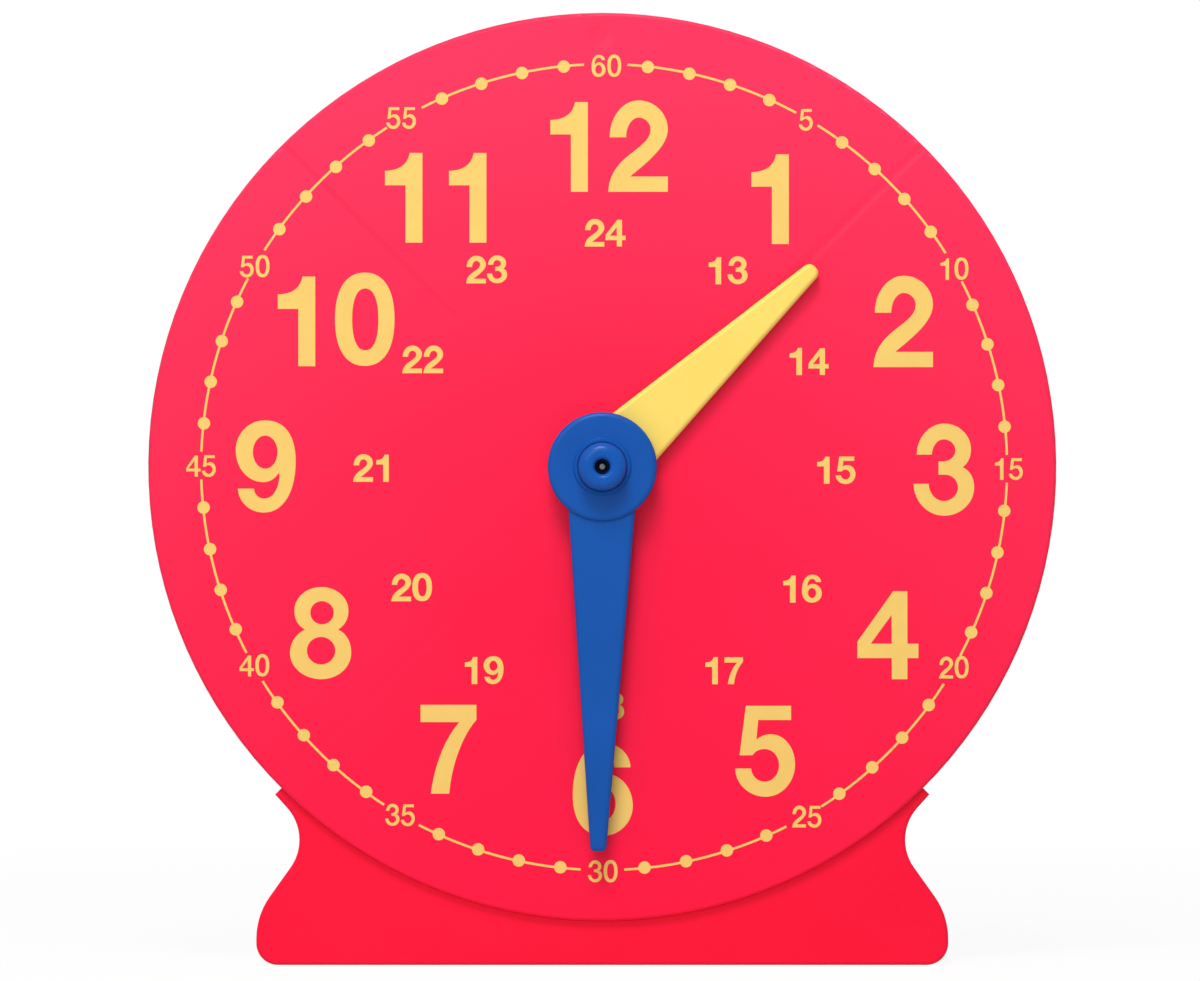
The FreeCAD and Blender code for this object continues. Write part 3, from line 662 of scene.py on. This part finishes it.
# %% How long each line is
after_numeral = add(track, "ShaderNodeMath", {0: in_group, 1: 0.5}, operation="LESS_THAN")
before_numeral = add(track, "ShaderNodeMath", {0: in_group, 1: GROUP - 1.5}, operation="GREATER_THAN")
numeral = add(track, "ShaderNodeMath", {0: number, 1: GROUP}, operation="DIVIDE")
numeral = add(track, "ShaderNodeMath", {0: numeral}, operation="ROUND")
numeral_angle = add(track, "ShaderNodeMath", {0: numeral, 1: math.tau / 12}, operation="MULTIPLY")
one_figure = add(track, "ShaderNodeMath", {0: numeral, 1: 1.0, 2: 0.1}, operation="COMPARE")
clear_wide = add(track, "GeometryNodeSwitch", {
    0: one_figure, 1: given["Clear Beside Numeral"], 2: given["Clear Of One Figure"],
}, input_type="FLOAT")
clear_x = add(track, "ShaderNodeMath", {0: numeral_angle}, operation="COSINE")
clear_x = add(track, "ShaderNodeMath", {0: clear_x, 1: clear_wide}, operation="MULTIPLY")
clear_z = add(track, "ShaderNodeMath", {0: numeral_angle}, operation="SINE")
clear_z = add(track, "ShaderNodeMath", {0: clear_z, 1: given["Clear Above Numeral"]}, operation="MULTIPLY")
clear = add(track, "ShaderNodeCombineXYZ", {0: clear_x, 2: clear_z})
clear = add(track, "ShaderNodeVectorMath", {0: clear}, operation="LENGTH").outputs["Value"]
clear_angle = add(track, "ShaderNodeMath", {0: clear, 1: given["Ring Radius"]}, operation="DIVIDE")
touched = add(track, "ShaderNodeMath", {0: after_numeral, 1: before_numeral}, operation="ADD")
side = add(track, "ShaderNodeMath", {0: after_numeral, 1: before_numeral}, operation="SUBTRACT")
lost = add(track, "ShaderNodeMath", {0: clear_angle, 1: touched}, operation="MULTIPLY")
sweep = add(track, "ShaderNodeMath", {0: step, 1: lost}, operation="SUBTRACT")
slide = add(track, "ShaderNodeMath", {0: clear_angle, 1: side}, operation="MULTIPLY")
from_point = add(track, "ShaderNodeMath", {0: step, 1: slide}, operation="ADD")
from_point = add(track, "ShaderNodeMath", {0: from_point, 1: 0.5}, operation="MULTIPLY")
middle = add(track, "ShaderNodeMath", {0: angle, 1: from_point}, operation="ADD")
print("track so far:", len(track.nodes), "nodes")

# %% [markdown]
# A straight bar would cut inside the ring, so each line is bent. Sixty flat strips one unit
# long are laid over each other at the centre, and every strip remembers its own middle and
# sweep as attributes. Then each vertex moves: its place along the strip becomes an angle and
# its height a distance from the centre. The ink of a thin line lies a little thinner.

# %% Lines bent to the ring
LINE_THINNER = 0.85
STRIP_POINTS = 7
line_points = add(track, "GeometryNodePoints", {"Count": given["Minutes"]})
for name, value in (("middle", middle), ("sweep", sweep)):
    line_points = add(track, "GeometryNodeStoreNamedAttribute", {
        "Geometry": line_points, "Name": name, "Value": value,
    }, data_type="FLOAT")
line_height = add(track, "ShaderNodeMath", {0: given["Ink Height"], 1: LINE_THINNER}, operation="MULTIPLY")
strip_size = add(track, "ShaderNodeCombineXYZ", {0: 1.0, 1: line_height, 2: given["Line Width"]})
strip = add(track, "GeometryNodeMeshCube", {"Size": strip_size, "Vertices X": STRIP_POINTS})
strips = add(track, "GeometryNodeInstanceOnPoints", {"Points": line_points, "Instance": strip})
strips = add(track, "GeometryNodeRealizeInstances", {"Geometry": strips})
local = add(track, "ShaderNodeSeparateXYZ", {0: add(track, "GeometryNodeInputPosition")}).outputs
own_sweep = add(track, "GeometryNodeInputNamedAttribute", {"Name": "sweep"}, data_type="FLOAT")
own_middle = add(track, "GeometryNodeInputNamedAttribute", {"Name": "middle"}, data_type="FLOAT")
line_angle = add(track, "ShaderNodeMath", {
    0: local["X"], 1: own_sweep, 2: own_middle,
}, operation="MULTIPLY_ADD")
line_radius = given["Ring Radius"]
for more in (given["Line Beyond Dots"], local["Z"]):
    line_radius = add(track, "ShaderNodeMath", {0: line_radius, 1: more}, operation="ADD")
lines = add(track, "GeometryNodeSetPosition", {
    "Geometry": strips, "Position": on_ring(line_angle, line_radius, local["Y"]),
})
print("track so far:", len(track.nodes), "nodes")

# %% [markdown]
# Both are joined, turned and moved to the dial together. Realize Instances makes them real
# mesh, and the tree ends by giving them the ink. The result is then copied out as a plain
# mesh, which is what any other program can read.

# %% Finish the track
both = add(track, "GeometryNodeJoinGeometry")
for part in (dots, lines):
    track.links.new(part.outputs[0], both.inputs[0])
turn = add(track, "ShaderNodeCombineXYZ", {1: given["Turn"]})
turn = add(track, "FunctionNodeEulerToRotation", {0: turn})
set_up = add(track, "GeometryNodeTransform", {
    "Geometry": both, "Translation": given["Ring Centre"], "Rotation": turn,
})
real = add(track, "GeometryNodeRealizeInstances", {"Geometry": set_up})
inked = add(track, "GeometryNodeSetMaterial", {"Geometry": real, "Material": given["Ink"]})
add(track, "NodeGroupOutput", {0: inked})

maker = put_in_scene("track_maker", bpy.data.meshes.new("track_maker"))
modifier = maker.modifiers.new("minute_track", "NODES")
modifier.node_group = track
for name, (_, value) in track_sizes.items():
    modifier[sockets[name].identifier] = value
evaluated = maker.evaluated_get(bpy.context.evaluated_depsgraph_get())
track_mesh = bpy.data.meshes.new_from_object(evaluated)
maker.modifiers.remove(modifier)
bpy.data.objects.remove(maker)
minute_track = put_in_scene("minute_track_print", track_mesh)
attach(minute_track, "case")
print("minute track faces", len(track_mesh.polygons))

# %% [markdown]
# ## The studio
# The clock stands on a pale floor in front of nothing but white. A bright backdrop would give
# that too, but its light would wash out the colours. Light Path tells one kind of ray from
# another, so the world is white for the camera and for what is mirrored in metal, while the
# light it gives is only a soft grey.

# %% World
SOFT_GREY, WHITE = 0.3, 1.0


def seen_directly(tree):
    """A node that is 1 for what is seen, also in metal or through glass, and 0 for lighting."""
    rays = add(tree, "ShaderNodeLightPath").outputs
    seen = rays["Is Camera Ray"]
    for kind in ("Is Glossy Ray", "Is Transmission Ray"):
        seen = add(tree, "ShaderNodeMath", {0: seen, 1: rays[kind]}, operation="MAXIMUM")
    return seen


scene = bpy.context.scene
scene.view_settings.view_transform = "Standard"
world = bpy.data.worlds.new("studio")
scene.world = world
world.use_nodes = True
tree = world.node_tree
tree.nodes.clear()
strength = add(tree, "ShaderNodeMapRange", {0: seen_directly(tree), 3: SOFT_GREY, 4: WHITE})
sky = add(tree, "ShaderNodeBackground", {"Color": (1, 1, 1, 1), "Strength": strength})
add(tree, "ShaderNodeOutputWorld", {"Surface": sky})
print("world lights at", SOFT_GREY, "and looks", WHITE)

# %% [markdown]
# The floor is matt paint, which scatters light evenly and has no highlight, with flecks of a
# few millimetres. Near the clock it lets a little of its own shade show, which keeps the
# clock's shadow, and from there it fades into the white.

# %% Floor
WHITE_NEAR, FADE_START, FADE_END = 0.93, 0.25, 0.9
FLECK_MM = 5
FLOOR_HALF = 8.0
floor_paint = empty_material("matt_white_floor_paint")
tree = floor_paint.node_tree
seen = seen_directly(tree)
spot = add(tree, "ShaderNodeTexCoord").outputs["Object"]
away = add(tree, "ShaderNodeVectorMath", {0: spot}, operation="LENGTH").outputs["Value"]
share = add(tree, "ShaderNodeMapRange", {
    0: away, 1: FADE_START, 2: FADE_END, 3: WHITE_NEAR, 4: WHITE,
}, interpolation_type="SMOOTHSTEP")
share = add(tree, "ShaderNodeMath", {0: share, 1: seen}, operation="MULTIPLY")
fleck = add(tree, "ShaderNodeTexNoise", {"Vector": spot, "Scale": 1000 / FLECK_MM, "Detail": 3.0})
pale = add(tree, "ShaderNodeMix", {
    0: fleck, 6: linear("#E2E2E1"), 7: linear("#DADAD9"),
}, data_type="RGBA")
shade = add(tree, "ShaderNodeMix", {
    0: seen, 6: pale.outputs[2], 7: linear("#FFFFFF"),
}, data_type="RGBA")
matt = add(tree, "ShaderNodeBsdfDiffuse", {"Color": shade.outputs[2]})
white = add(tree, "ShaderNodeEmission", {"Strength": WHITE})
painted = add(tree, "ShaderNodeMixShader", {0: share, 1: matt, 2: white})
add(tree, "ShaderNodeOutputMaterial", {"Surface": painted})

bm = bmesh.new()
bmesh.ops.create_grid(bm, x_segments=1, y_segments=1, size=FLOOR_HALF)
floor_mesh = bpy.data.meshes.new("floor")
bm.to_mesh(floor_mesh)
bm.free()
floor_mesh.materials.append(floor_paint)
floor = put_in_scene("floor", floor_mesh)
print("floor is", 2 * FLOOR_HALF, "m wide and", WHITE_NEAR, "white near the clock")

# %% [markdown]
# The shadows tell where the lamps stood. The dial throws a narrow band straight down on its
# foot, with a fairly clear edge, so the key lamp is small and hangs high in front, a little to
# the left. The hands have a wide faint shadow as well, which comes from a large softbox beside
# it. A third lamp stands near the camera and fills the shadows. Places and sizes are in
# metres, and powers in watts.

# %% Lamps
def lamp(name, place, size, power):
    """A square soft lamp at a place, turned to the middle of the dial."""
    data = bpy.data.lights.new(name, "AREA")
    data.size, data.energy = size, power
    made = put_in_scene(name, data)
    made.location = place
    made.rotation_euler = (dial_centre - Vector(place)).to_track_quat("-Z", "Y").to_euler()


lamp("key", (-0.17, -1.02, 1.57), 0.6, 18.5)
lamp("softbox", (-0.4, -1.0, 1.2), 1.6, 5)
lamp("front", (-0.5, -1.95, 0.85), 0.8, 5)

# %% [markdown]
# ## The camera
# The view is level and square to the dial, and only the front of the stand shows, so the
# camera stands well back. It is 2.2 m in front of the dial and 157 mm above the floor, and the
# lens is worked out from the width of the view at the dial, 396 mm.

# %% Camera
VIEW_WIDTH, VIEW_DISTANCE = 0.3962, 2.2
VIEW_ACROSS, VIEW_HEIGHT = -0.75 * MM, 156.9 * MM
SENSOR_WIDTH = 36.0
camera_data = bpy.data.cameras.new("camera")
camera_data.sensor_width = SENSOR_WIDTH
camera_data.lens = SENSOR_WIDTH * VIEW_DISTANCE / VIEW_WIDTH
camera = put_in_scene("camera", camera_data)
camera.location = (VIEW_ACROSS, dial_centre.y - VIEW_DISTANCE, VIEW_HEIGHT)
camera.rotation_euler = (math.pi / 2, 0, 0)
scene.camera = camera
print("lens, mm", round(camera_data.lens, 1))
